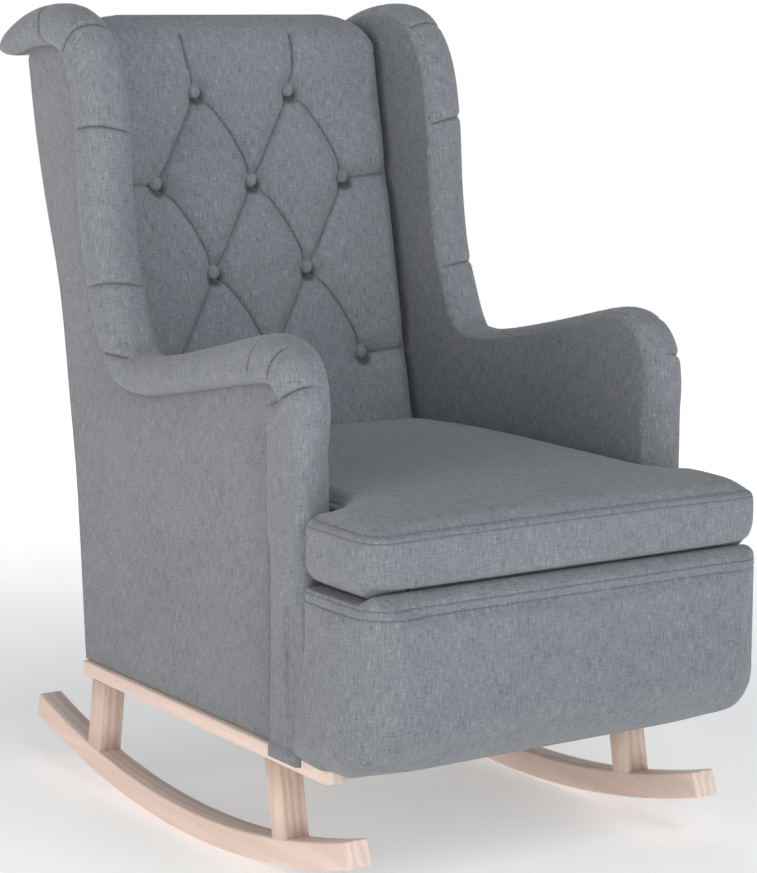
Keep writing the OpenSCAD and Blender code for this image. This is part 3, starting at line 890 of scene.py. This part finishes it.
# Tufted back cushion
backLook = {
    "half": 0.2298,
    "footY": 0.216,
    "footZ": 0.466,
    "lean": 0.2,
    "thick": 0.058,
    "top": 1.034,
    "topRound": 0.046,
    "topProfile": [(0.000, 0.960), (0.010, 0.995), (0.030, 1.021), (0.055, 1.034), (0.080, 1.028),
                   (0.092, 0.992)],
    "swell": 0.008,
    "voxel": 0.005,
    "pitch": 0.149,
    "rise": 0.122,
    "firstRow": 0.566,
    "pleatDepth": 0.015,
    "pleatWidth": 0.058,
    "puffedWidth": 0.032,
    "bow": 0.011,
    "buttonDepth": 0.010,
    "buttonReach": 0.030,
    "button": 0.0105,
    "buttonPlace": 0.0160,
    "buttonFront": 0.72,
    "buttonRear": 0.28,
    "rimRound": 0.016,
    "pleatEdges": (-0.0022, 0.0, 0.0022),
    "pleatShade": (0.50, 0.0030),  # darkness and half width
    "buttonShade": (0.9, 0.005),
}


def backY(z):
    return backLook["footY"] + backLook["lean"] * max(0.0, z - backLook["footZ"])


def buttonPlaces():
    look = backLook
    made = []
    for row in range(4):
        for k in (-1, 0, 1):
            if row % 2 == 0 or k < 1:
                made.append(((k + (row % 2) / 2) * look["pitch"], look["firstRow"] + row * look["rise"]))
    return made


def pleatLines():
    # short straight runs in the plane of the back, from button to button and out to the edges
    look = backLook
    places = buttonPlaces()
    lines = []
    for x, z in places:
        for ox, oz in places:
            if abs(oz - z - look["rise"]) < 0.001 and abs(abs(ox - x) - look["pitch"] / 2) < 0.001:
                # the pleats that climb to the sitter's right bow outwards
                bow = look["bow"] if ox < x else 0.0
                run = Vector((ox - x, oz - z)).normalized()
                points = []
                for step in range(5):
                    t = step / 4
                    push = 4 * t * (1 - t) * bow
                    points.append((x + (ox - x) * t + run.y * push, z + (oz - z) * t - run.x * push))
                lines += list(zip(points, points[1:])) if bow else [(points[0], points[-1])]
    for x, z in places:
        side = 1 if x > 0 else -1
        if abs(x) > look["pitch"] * 0.9:
            lines.append(((x, z), (side * look["half"], z + 0.004)))
        if z > look["firstRow"] + 2.5 * look["rise"]:
            lines.append(((x, z), (x + side * 0.010, z + 0.040)))
            lines.append(((x + side * 0.010, z + 0.040), (x + side * 0.013, z + 0.078)))
    return lines


def distanceTo(line, x, z):
    (ax, az), (bx, bz) = line
    runX, runZ = bx - ax, bz - az
    t = ((x - ax) * runX + (z - az) * runZ) / (runX * runX + runZ * runZ)
    t = max(0.0, min(1.0, t))
    return math.hypot(x - ax - t * runX, z - az - t * runZ)


def hollowAt(line, x, z):
    # share of the full depth of a pleat: steep on its puffed side, easy on the other
    look = backLook
    (ax, az), (bx, bz) = line
    d = distanceTo(line, x, z)
    width = 0.5 * (look["pleatWidth"] + look["puffedWidth"])
    if bx < ax and bz > az + 0.01:
        below = (x - ax) * (bz - az) - (z - az) * (bx - ax) < 0
        width = look["puffedWidth"] if below else look["pleatWidth"]
    if d >= width:
        return 0.0
    return 1 - math.sqrt(max(0.0, 1 - (1 - d / width) ** 2))


def makeBackCushion():
    look = backLook
    inset = look["swell"] * 0.7
    front = [(backY(0.3853) + inset, 0.3853 + 0.002), (backY(0.466) + inset, 0.466)]
    front += [(backY(0.96) + y + inset * 0.8, z + 0.002) for y, z in look["topProfile"]]
    rear = [(backY(0.985) + look["thick"], 0.985), (backY(0.466) + look["thick"], 0.466),
            (look["footY"] + look["thick"], 0.395), (0.248, 0.3872)]
    bm = bmesh.new()
    prism(bm, front + rear, 0, -look["half"] + inset * 0.5, look["half"] - inset * 0.5)

    def sideRim(e):
        outside = all(abs(abs(v.co.x) - look["half"]) < 0.01 for v in e.verts)
        frontish = all(v.co.y < backY(v.co.z) + 0.02 or v.co.z > 0.985 for v in e.verts)
        return outside and frontish and e.calc_face_angle(0) > 1.2
    bevelEdges(bm, sideRim, look["rimRound"], 4)
    piece = meshFrom(bm, "backCushion")
    remesh(piece, look["voxel"])
    relax(piece, 3)
    inflate(piece, look["swell"])
    refine(piece)
    corner = look["top"] - look["topRound"]

    def settle(co):
        made = co.copy()
        if co.z > corner:
            rise = min(1.0, (co.z - corner) / look["topRound"])
            reach = look["half"] - look["topRound"] + look["topRound"] * math.sqrt(max(0.0, 1 - rise * rise))
            made.x = co.x * max(0.80, reach / look["half"]) * (1 - 0.02 * rise)
        made.x = max(-look["half"], min(look["half"], made.x))
        made.z = max(0.3855, made.z)
        if co.z < 0.99:
            made.y = min(made.y, backY(co.z) + look["thick"] + 0.001)
        return made
    shaped(piece, settle)
    lines = pleatLines()
    places = buttonPlaces()
    normal = Vector((0, -1, look["lean"])).normalized()
    cuts = []
    for line in lines:
        (ax, az), (bx, bz) = line
        run = Vector((bx - ax, look["lean"] * (bz - az), bz - az))
        across = run.cross(normal).normalized()
        centre = Vector((ax, backY(az), az))

        def near(co, line=line):
            return co.y < backY(co.z) + 0.03 and distanceTo(line, co.x, co.z) < 0.008
        cuts.append((centre, across, look["pleatEdges"], near))

    def depthAt(co, facing):
        # hollows are cut straight back into the pad, deepest along the pleats and at the buttons
        if facing.dot(normal) < 0.25 or co.z < 0.5:
            return 0.0, 0.0
        d = min(distanceTo(line, co.x, co.z) for line in lines)
        b = min(math.hypot(co.x - x, co.z - z) for x, z in places)
        sink, dark = 0.0, 0.0
        if d < look["pleatWidth"]:
            sink = look["pleatDepth"] * max(hollowAt(line, co.x, co.z) for line in lines)
            # painted shade along the pleats
            shade, reached = look["pleatShade"]
            dark = max(0.0, 1 - d / reached) * shade
        if b < look["buttonReach"]:
            t = 1 - b / look["buttonReach"]
            sink += look["buttonDepth"] * t * t * (3 - 2 * t)
            # painted shadow under each button, centred a little below it
            under = min(math.hypot(co.x - x, co.z - z + 0.004) for x, z in places)
            shade, reached = look["buttonShade"]
            dark = max(dark, min(1.0, max(0.0, 1 - (under - look["button"]) / reached)) * shade)
        edge = min(1.0, (look["half"] - abs(co.x)) / 0.02 + 0.35)
        return sink * edge, dark
    sewIn(piece, cuts, depthAt, normal)
    addPiece(piece, "chair", greyCloth, ("back_cushion",))


def makeButtons():
    look = backLook
    tilt = Matrix.Rotation(math.radians(90) - math.atan(look["lean"]), 3, "X")
    bm = bmesh.new()
    for x, z in buttonPlaces():
        dome = bmesh.ops.create_uvsphere(bm, u_segments=28, v_segments=16, radius=look["button"])["verts"]
        for vert in dome:
            # flattened in depth, with a rounded rim
            vert.co.z *= look["buttonFront"] if vert.co.z > 0 else look["buttonRear"]
        bmesh.ops.rotate(bm, verts=dome, cent=(0, 0, 0), matrix=tilt)
        bmesh.ops.translate(bm, verts=dome, vec=(x, backY(z) + look["buttonPlace"], z))
    piece = meshFrom(bm, "tuftButtons")
    addPiece(piece, "chair", greyCloth, ("tuft_buttons",))


makeBackCushion()
makeButtons()


# Loose seat cushion
seatLook = {
    "front": -0.455, "frontHalf": 0.292, "earsRear": -0.3083, "half": 0.2305, "rear": 0.2145,
    "base": 0.3853, "edge": 0.4655, "crown": 0.016, "swell": 0.009, "round": 0.026, "voxel": 0.006,
    "frontCorner": 0.032, "lip": 0.3975, "lipRear": -0.4335, "lipFade": 0.012,
    "seams": (0.4600, 0.4530), "gusset": 0.020, "earGap": 0.004, "gussetStep": 0.014,
    "tuckUnder": 0.011, "tuckHeight": 0.030,
    "earRound": 0.006, "rearRound": 0.020, "lowRound": 0.016, "pressedBy": 0.022,
}


def makeSeatCushion():
    look = seatLook
    s = look["swell"] * 0.40
    ears = look["earsRear"] + look["earGap"]
    bottom, top = look["base"] + 0.001, look["edge"] - 0.004
    right = [
        (look["frontHalf"] - s, look["front"] + s), (look["frontHalf"] - s, ears),
        (look["half"] + look["gussetStep"], ears), (look["half"] - s * 0.5, look["earsRear"] + look["gusset"]),
        (look["half"] - s * 0.5, look["rear"] - s * 0.5),
    ]
    left = [(-x, y) for x, y in reversed(right)]
    outline = left[-1:] + right + left[:-1]
    bm = bmesh.new()
    prism(bm, outline, 2, bottom, top)
    upright = edgeAlong(2)
    bevelEdges(bm, lambda e: upright(e) and e.verts[0].co.y < -0.4, look["frontCorner"], 5)
    bevelEdges(bm, lambda e: upright(e) and abs(e.verts[0].co.x) > 0.25 and e.calc_face_angle(0) > 1.2,
               look["earRound"], 3)
    bevelEdges(bm, lambda e: upright(e) and e.verts[0].co.y > 0.15, look["rearRound"], 3)
    bevelEdges(bm, levelAt(2, top), look["round"], 4)
    bevelEdges(bm, levelAt(2, bottom), look["lowRound"], 3)
    piece = meshFrom(bm, "seatCushion")
    remesh(piece, look["voxel"])
    relax(piece, 4)
    inflate(piece, look["swell"])
    relax(piece, 2)
    refine(piece)

    def settle(co):
        made = co.copy()
        # the front edge rests on the apron's lip, a little above the deck
        onLip = max(0.0, min(1.0, (look["lipRear"] + look["lipFade"] - co.y) / look["lipFade"]))
        lifted = (look["lip"] - look["base"]) * onLip
        made.z += lifted * max(0.0, 1 - (co.z - look["base"]) / (look["lip"] - look["base"] + look["pressedBy"]))
        made.z = max(look["base"] + 0.0002 + lifted, made.z)
        made.y = max(look["front"] - 0.004, min(look["rear"], made.y))
        if made.y > look["earsRear"] + look["gusset"]:
            made.x = max(-look["half"], min(look["half"], made.x))
        elif abs(made.x) > look["half"] + 0.012:
            made.y = min(made.y, look["earsRear"])
        reach = look["frontHalf"] + 0.002
        made.x = max(-reach, min(reach, made.x))
        if abs(made.x) > look["half"]:
            # the ends of the ears are drawn in towards their lower edge
            low = max(0.0, 1 - (made.z - look["base"] - lifted) / look["tuckHeight"])
            made.x *= 1 - look["tuckUnder"] / look["frontHalf"] * low * low
        return made
    shaped(piece, settle)
    sewLevelSeams(piece, look["seams"], lambda co, facing: abs(facing.z) > 0.93)
    stitches = stitchRows(piece, look["seams"], "seatStitches")

    def crown(co):
        made = co.copy()
        middle = (look["front"] + look["rear"]) / 2
        u = min(1.0, abs(co.x) / (look["frontHalf"] + 0.01))
        v = min(1.0, abs(co.y - middle) / (look["rear"] - middle + 0.01))
        rise = (1 - u ** 2.6) * (1 - v ** 4)
        lifted = max(0.0, (co.z - look["base"]) / (look["edge"] - look["base"]))
        made.z += look["crown"] * rise * lifted + wobble(co, 0.16, 0.0018, 1.7) * lifted * rise
        return made
    shaped(piece, crown)
    shaped(stitches, crown)
    addPiece(piece, "cushion", greyCloth, ("seat_cushion",))
    addPiece(stitches, "cushion", threadCloth)


stitchLook = {"length": 0.0036, "pitch": 0.0056, "wide": 0.00045, "high": 0.00055, "proud": 0.0002}


def stitchRows(piece, heights, name, wanted=None):
    # small raised stitches along the lines where level planes meet the pad
    bm = bmesh.new()
    for height in heights:
        for loop in levelLoops(piece, height):
            placeStitches(bm, loop, wanted)
    return meshFrom(bm, name)


def levelLoops(piece, height):
    bm = bmesh.new()
    bm.from_mesh(piece.data)
    bm.normal_update()
    cut = bmesh.ops.bisect_plane(bm, geom=[*bm.verts, *bm.edges, *bm.faces], dist=0.00001,
                                 plane_co=(0, 0, height), plane_no=(0, 0, 1))["geom_cut"]
    edges = {g for g in cut if isinstance(g, bmesh.types.BMEdge)}
    loops = []
    while edges:
        edge = edges.pop()
        walk = [edge.verts[0], edge.verts[1]]
        going = True
        while going:
            going = False
            for other in walk[-1].link_edges:
                if other in edges:
                    edges.remove(other)
                    walk.append(other.other_vert(walk[-1]))
                    going = True
                    break
        loops.append([(v.co.copy(), v.normal.copy()) for v in walk])
    bm.free()
    return [loop for loop in loops if len(loop) > 20]


def placeStitches(bm, loop, wanted):
    look = stitchLook
    gone = 0.0
    batch = bmesh.new()  # a small mesh at a time, as operators slow down on a large one
    for (a, normalA), (b, normalB) in zip(loop, loop[1:]):
        step = (b - a).length
        if step < 1e-6:
            continue
        gone += step
        if gone < look["pitch"]:
            continue
        gone -= look["pitch"]
        if wanted and not wanted(b, normalB):
            continue
        run = (b - a).normalized()
        out = normalB.normalized()
        side = out.cross(run).normalized()
        turn = Matrix((run, side, out)).transposed().to_4x4()
        size = Matrix.Diagonal((look["length"] / 2, look["wide"], look["high"], 1.0))
        place = Matrix.Translation(b + out * look["proud"])
        bmesh.ops.create_uvsphere(batch, u_segments=6, v_segments=5, radius=1.0, matrix=place @ turn @ size)
        if len(batch.verts) > 600:
            joinInto(bm, batch)
            batch = bmesh.new()
    joinInto(bm, batch)


threadCloth = plainCloth("stitchThread", (0.10, 0.11, 0.125), (0.20, 0.21, 0.235), 0.0006)
makeSeatCushion()


# Padded front apron
apronLook = {
    "half": 0.295, "front": -0.458, "rear": -0.3065, "bottom": 0.165, "top": 0.3808, "lowRound": 0.026,
    "highRound": 0.026, "frontDeep": 0.086, "frontLow": 0.076, "frontHigh": 0.019, "sideRound": 0.034,
    # the two ends are rounded higher up: by how much, from where and over what run
    "endLow": 0.042, "endFrom": 0.255, "endRun": 0.035,
    "lip": 0.3962, "lipRun": 0.016, "swell": 0.007, "voxel": 0.0055, "grid": 0.011,
    "boxHalf": 0.2623, "boxFront": -0.4358, "boxBottom": 0.2035, "railTop": 0.3722, "deckFront": -0.4328,
    "boxRear": -0.2, "boxTop": 0.5,
    # rear edge of the side flaps, which cover the foot of the arm fronts: y, z
    "flap": [(-0.345, 0.352), (-0.312, 0.352), (-0.292, 0.250), (-0.277, 0.186), (-0.281, 0.172),
             (-0.345, 0.166)],
    "flapInner": 0.2822,
    "seams": (0.3770, 0.3665),
}


def makeApron():
    look = apronLook
    s = look["swell"] * 0.6
    # the top is made as high as the lip, then pressed flat behind it, under the cushion
    half, top, bottom = look["half"] - s, look["lip"] - s * 0.5, look["bottom"] + s * 0.2
    bm = bmesh.new()
    frontFace = look["front"] + s
    prism(bm, [(-half, bottom), (half, bottom), (half, top), (-half, top)], 1, frontFace, look["rear"])
    depthwise = edgeAlong(1)
    bevelEdges(bm, lambda e: depthwise(e) and e.verts[0].co.z < 0.2, look["lowRound"], 9)
    bevelEdges(bm, lambda e: depthwise(e) and e.verts[0].co.z > 0.36 and e.calc_face_angle(0) > 1.2,
               look["highRound"], 6)
    piece = meshFrom(bm, "frontApron")
    gridded(piece, look["grid"])
    high, side = look["frontHigh"], look["sideRound"]

    def roundFront(co):
        # deeper at the bottom than at the top, and higher up at the ends than in the middle
        made = co.copy()
        inward = 0.0
        end = max(0.0, min(1.0, (abs(co.x) - look["endFrom"]) / look["endRun"]))
        low = look["frontLow"] + look["endLow"] * end * end * (3 - 2 * end)
        under = (bottom + low) - co.z
        over = co.z - (top - high)
        sideways = abs(co.x) - (half - side)
        if under > 0:
            inward = look["frontDeep"] * (1 - math.sqrt(max(0.0, 1 - (min(under, low) / low) ** 2)))
        if over > 0:
            inward = max(inward, high - math.sqrt(max(0.0, high * high - min(over, high) ** 2)))
        if sideways > 0:
            turn = side - math.sqrt(max(0.0, side ** 2 - min(sideways, side) ** 2))
            inward = math.hypot(inward, turn)
        depth = look["rear"] - frontFace
        share = (look["rear"] - co.y) / depth
        made.y = co.y + inward * share
        return made
    shaped(piece, roundFront)
    addFlaps(piece, half)
    remesh(piece, look["voxel"])
    relax(piece, 4)
    inflate(piece, look["swell"])
    refine(piece)
    rails = (baseLook["outside"] - baseLook["thick"] - 0.0006, baseLook["outside"] + 0.0006)

    def settle(co):
        made = co.copy()
        if abs(co.x) < look["flapInner"]:
            made.y = min(made.y, look["rear"])
        behindLip = max(0.0, min(1.0, (co.y - look["deckFront"] + 0.004) / look["lipRun"]))
        highest = look["lip"] + (look["top"] - look["lip"]) * behindLip
        made.z = max(look["bottom"] - 0.002, min(highest, made.z))
        if rails[0] < abs(co.x) < rails[1] and co.y > baseLook["railFront"] - 0.002:
            made.z = max(made.z, baseLook["railTop"] + 0.0004)
        return made
    shaped(piece, settle)
    box = look["boxHalf"]
    carve(piece, (-box, look["boxFront"], look["boxBottom"]), (box, look["boxRear"], look["railTop"]))
    carve(piece, (-box, look["deckFront"], look["railTop"] - 0.001), (box, look["boxRear"], look["boxTop"]))

    def outside(co, facing):
        return co.y < look["boxFront"] - 0.004 and facing.y < 0.2 or abs(co.x) > look["boxHalf"] + 0.01

    sewLevelSeams(piece, look["seams"], lambda co, facing: not outside(co, facing) or facing.z > 0.97)
    stitches = stitchRows(piece, look["seams"], "apronStitches", outside)
    addPiece(piece, "chair", greyCloth, ("apron",))
    addPiece(stitches, "chair", threadCloth)


def addFlaps(piece, half):
    look = apronLook
    with editing(piece) as bm:
        for low, high in ((look["flapInner"], half), (-half, -look["flapInner"])):
            flap = bmesh.new()
            prism(flap, look["flap"], 0, low, high)
            joinInto(bm, flap)


def gridded(piece, step):
    with editing(piece) as bm:
        for axis in range(3):
            places = [v.co[axis] for v in bm.verts]
            gridCuts(bm, axis, min(places), max(places), step)


def carve(piece, low, high):
    # takes a box-shaped hollow out of the pad
    bm = bmesh.new()
    brick(bm, low, high)
    tool = meshFrom(bm, "carver")
    cut = piece.modifiers.new("hollow", "BOOLEAN")
    cut.operation = "DIFFERENCE"
    cut.solver = "EXACT"
    cut.object = tool
    bake(piece)
    bpy.data.objects.remove(tool)


makeApron()


# Dust cover under the seat
dustLook = {
    "half": 0.2312, "front": -0.2842, "rear": 0.2822, "height": 0.1722, "sag": 0.0035, "thick": 0.0009,
}


def makeDustCover():
    look = dustLook
    bm = bmesh.new()
    bmesh.ops.create_grid(bm, x_segments=40, y_segments=48, size=0.5)
    size = Vector((2 * look["half"], look["rear"] - look["front"], 1))
    bmesh.ops.scale(bm, vec=size, verts=bm.verts)
    middle = (look["front"] + look["rear"]) / 2
    bmesh.ops.translate(bm, vec=(0, middle, look["height"]), verts=bm.verts)
    for vert in bm.verts:
        x, y = vert.co.x, vert.co.y
        u, v = x / look["half"], (y - middle) / (size.y / 2)
        inside = (1 - u ** 4) * (1 - v ** 4)
        vert.co.z -= look["sag"] * inside * (1 + 0.5 * noise.noise(Vector((x * 9, y * 9, 5))))
    piece = meshFrom(bm, "dustCover")
    wall = piece.modifiers.new("wall", "SOLIDIFY")
    wall.thickness = look["thick"]
    wall.offset = 0
    bake(piece)
    addPiece(piece, "chair", dustCloth, ("dust_cover",))


makeDustCover()


# Finishes of the CAD nodes that stay
def finishNodes():
    finishes = {
        plyFace: ["side_panel_left", "side_panel_right"],
        frameWoodX: ["cross_rails", "rear_rail", "lumbar_rail", "crest_rail", "front_rail"],
        frameWoodY: ["sill_left", "sill_right", "seat_rail_left", "seat_rail_right", "front_box_side_left",
                     "front_box_side_right"],
        frameWoodZ: ["back_post_left", "back_post_right", "corner_blocks"],
        rubberwoodZ: ["leg_dowels"],
        boltSteel: ["base_bolts", "frame_screws"],
        insertZinc: ["insert_nuts"],
        webCloth: ["seat_webbing", "back_webbing"],
        deckCloth: ["seat_deck"],
        twineCloth: ["button_twine"],
    }
    for material, names in finishes.items():
        for name in names:
            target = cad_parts[name]
            while len(target.data.materials) < 1:
                target.data.materials.append(None)
            for slot in target.material_slots:
                slot.material = material
    print("finished the carried-over nodes")


finishNodes()


# Floor, lights and camera
studioLook = {
    "floorHalf": 9.0, "floorTint": (0.90, 0.90, 0.90), "world": 1.0, "overhead": 0.0,
    # the floor's glow near the chair and far from it, and the distances
    "floorGlow": (0.34, 0.88), "glowRange": (0.7, 2.6),
    # name, place, target, size, watts, colour
    "lights": [
        ("left", (-3.2, -0.6, 1.0), (0, 0, 0.5), 2.0, 33.0, (1.0, 0.93, 0.80)),
        ("leftHigh", (-2.8, -1.2, 2.4), (0, 0, 0.5), 2.0, 9.0, (0.70, 0.86, 1.0)),
        ("frontHigh", (0.0, -3.0, 2.4), (0, 0, 0.5), 2.2, 56.0, (0.98, 0.99, 1.0)),
        ("top", (0.2, 0.0, 3.4), (0, 0, 0.5), 2.4, 11.0, (0.92, 0.96, 1.0)),
        ("rear", (0.5, 3.0, 2.2), (0, 0, 0.5), 2.4, 15.0, (0.85, 0.90, 1.0)),
    ],
    "camera": (-1.8535, -2.8607, 1.0462), "elevation": 9.13, "azimuth": -32.95, "lens": 108.95,
    "shift": (0.01172, -0.00622),
}


def aimAt(thing, place, target):
    thing.location = Vector(place) + Vector((0, datumY, 0))
    thing.rotation_euler = (Vector(target) - Vector(place)).to_track_quat("-Z", "Y").to_euler()


def makeStudio():
    look = studioLook
    bm = bmesh.new()
    bmesh.ops.create_grid(bm, x_segments=1, y_segments=1, size=look["floorHalf"])
    floor = meshFrom(bm, "studioFloor")
    made, tree, shader = newMaterial("studioFloorPaint", 0.9)
    place = addNode(tree, "ShaderNodeTexCoord")
    grain = noiseAt(tree, place.outputs["Object"], 40.0, 3.0)
    tint = look["floorTint"]
    wire(tree, ramp(tree, grain, [(0.3, tuple(c * 0.985 for c in tint)), (0.7, tint)]),
         shader.inputs["Base Color"])
    shader.inputs["Emission Color"].default_value = (1.0, 1.0, 1.0, 1.0)
    away = addNode(tree, "ShaderNodeVectorMath", operation="LENGTH")
    wire(tree, place.outputs["Object"], away.inputs[0])
    glow = remap(tree, away.outputs["Value"], *look["glowRange"], *look["floorGlow"])
    wire(tree, glow, shader.inputs["Emission Strength"])
    floor.data.materials.append(made)
    world = bpy.data.worlds.new("studio")
    scene.world = world
    world.use_nodes = True
    tree = world.node_tree
    background = tree.nodes["Background"]
    background.inputs["Strength"].default_value = look["world"]
    # white round the horizon, darker overhead
    sky = addNode(tree, "ShaderNodeTexCoord")
    height = addNode(tree, "ShaderNodeSeparateXYZ")
    wire(tree, sky.outputs["Generated"], height.inputs[0])
    grey = look["overhead"]
    wire(tree, ramp(tree, height.outputs[2], [(0.08, (1.0, 1.0, 1.0)), (0.55, (grey, grey, grey))]),
         background.inputs["Color"])
    for name, place, target, size, watts, colour in look["lights"]:
        lamp = bpy.data.lights.new(name, "AREA")
        lamp.size = size
        lamp.energy = watts
        lamp.color = colour
        holder = bpy.data.objects.new(name, lamp)
        scene.collection.objects.link(holder)
        aimAt(holder, place, target)
    lens = bpy.data.cameras.new("camera")
    lens.lens = look["lens"]
    lens.shift_x, lens.shift_y = look["shift"]
    holder = bpy.data.objects.new("camera", lens)
    scene.collection.objects.link(holder)
    holder.location = Vector(look["camera"]) + Vector((0, datumY, 0))
    holder.rotation_euler = (math.radians(90 - look["elevation"]), 0, math.radians(look["azimuth"]))
    scene.camera = holder
    print("made the studio")


makeStudio()
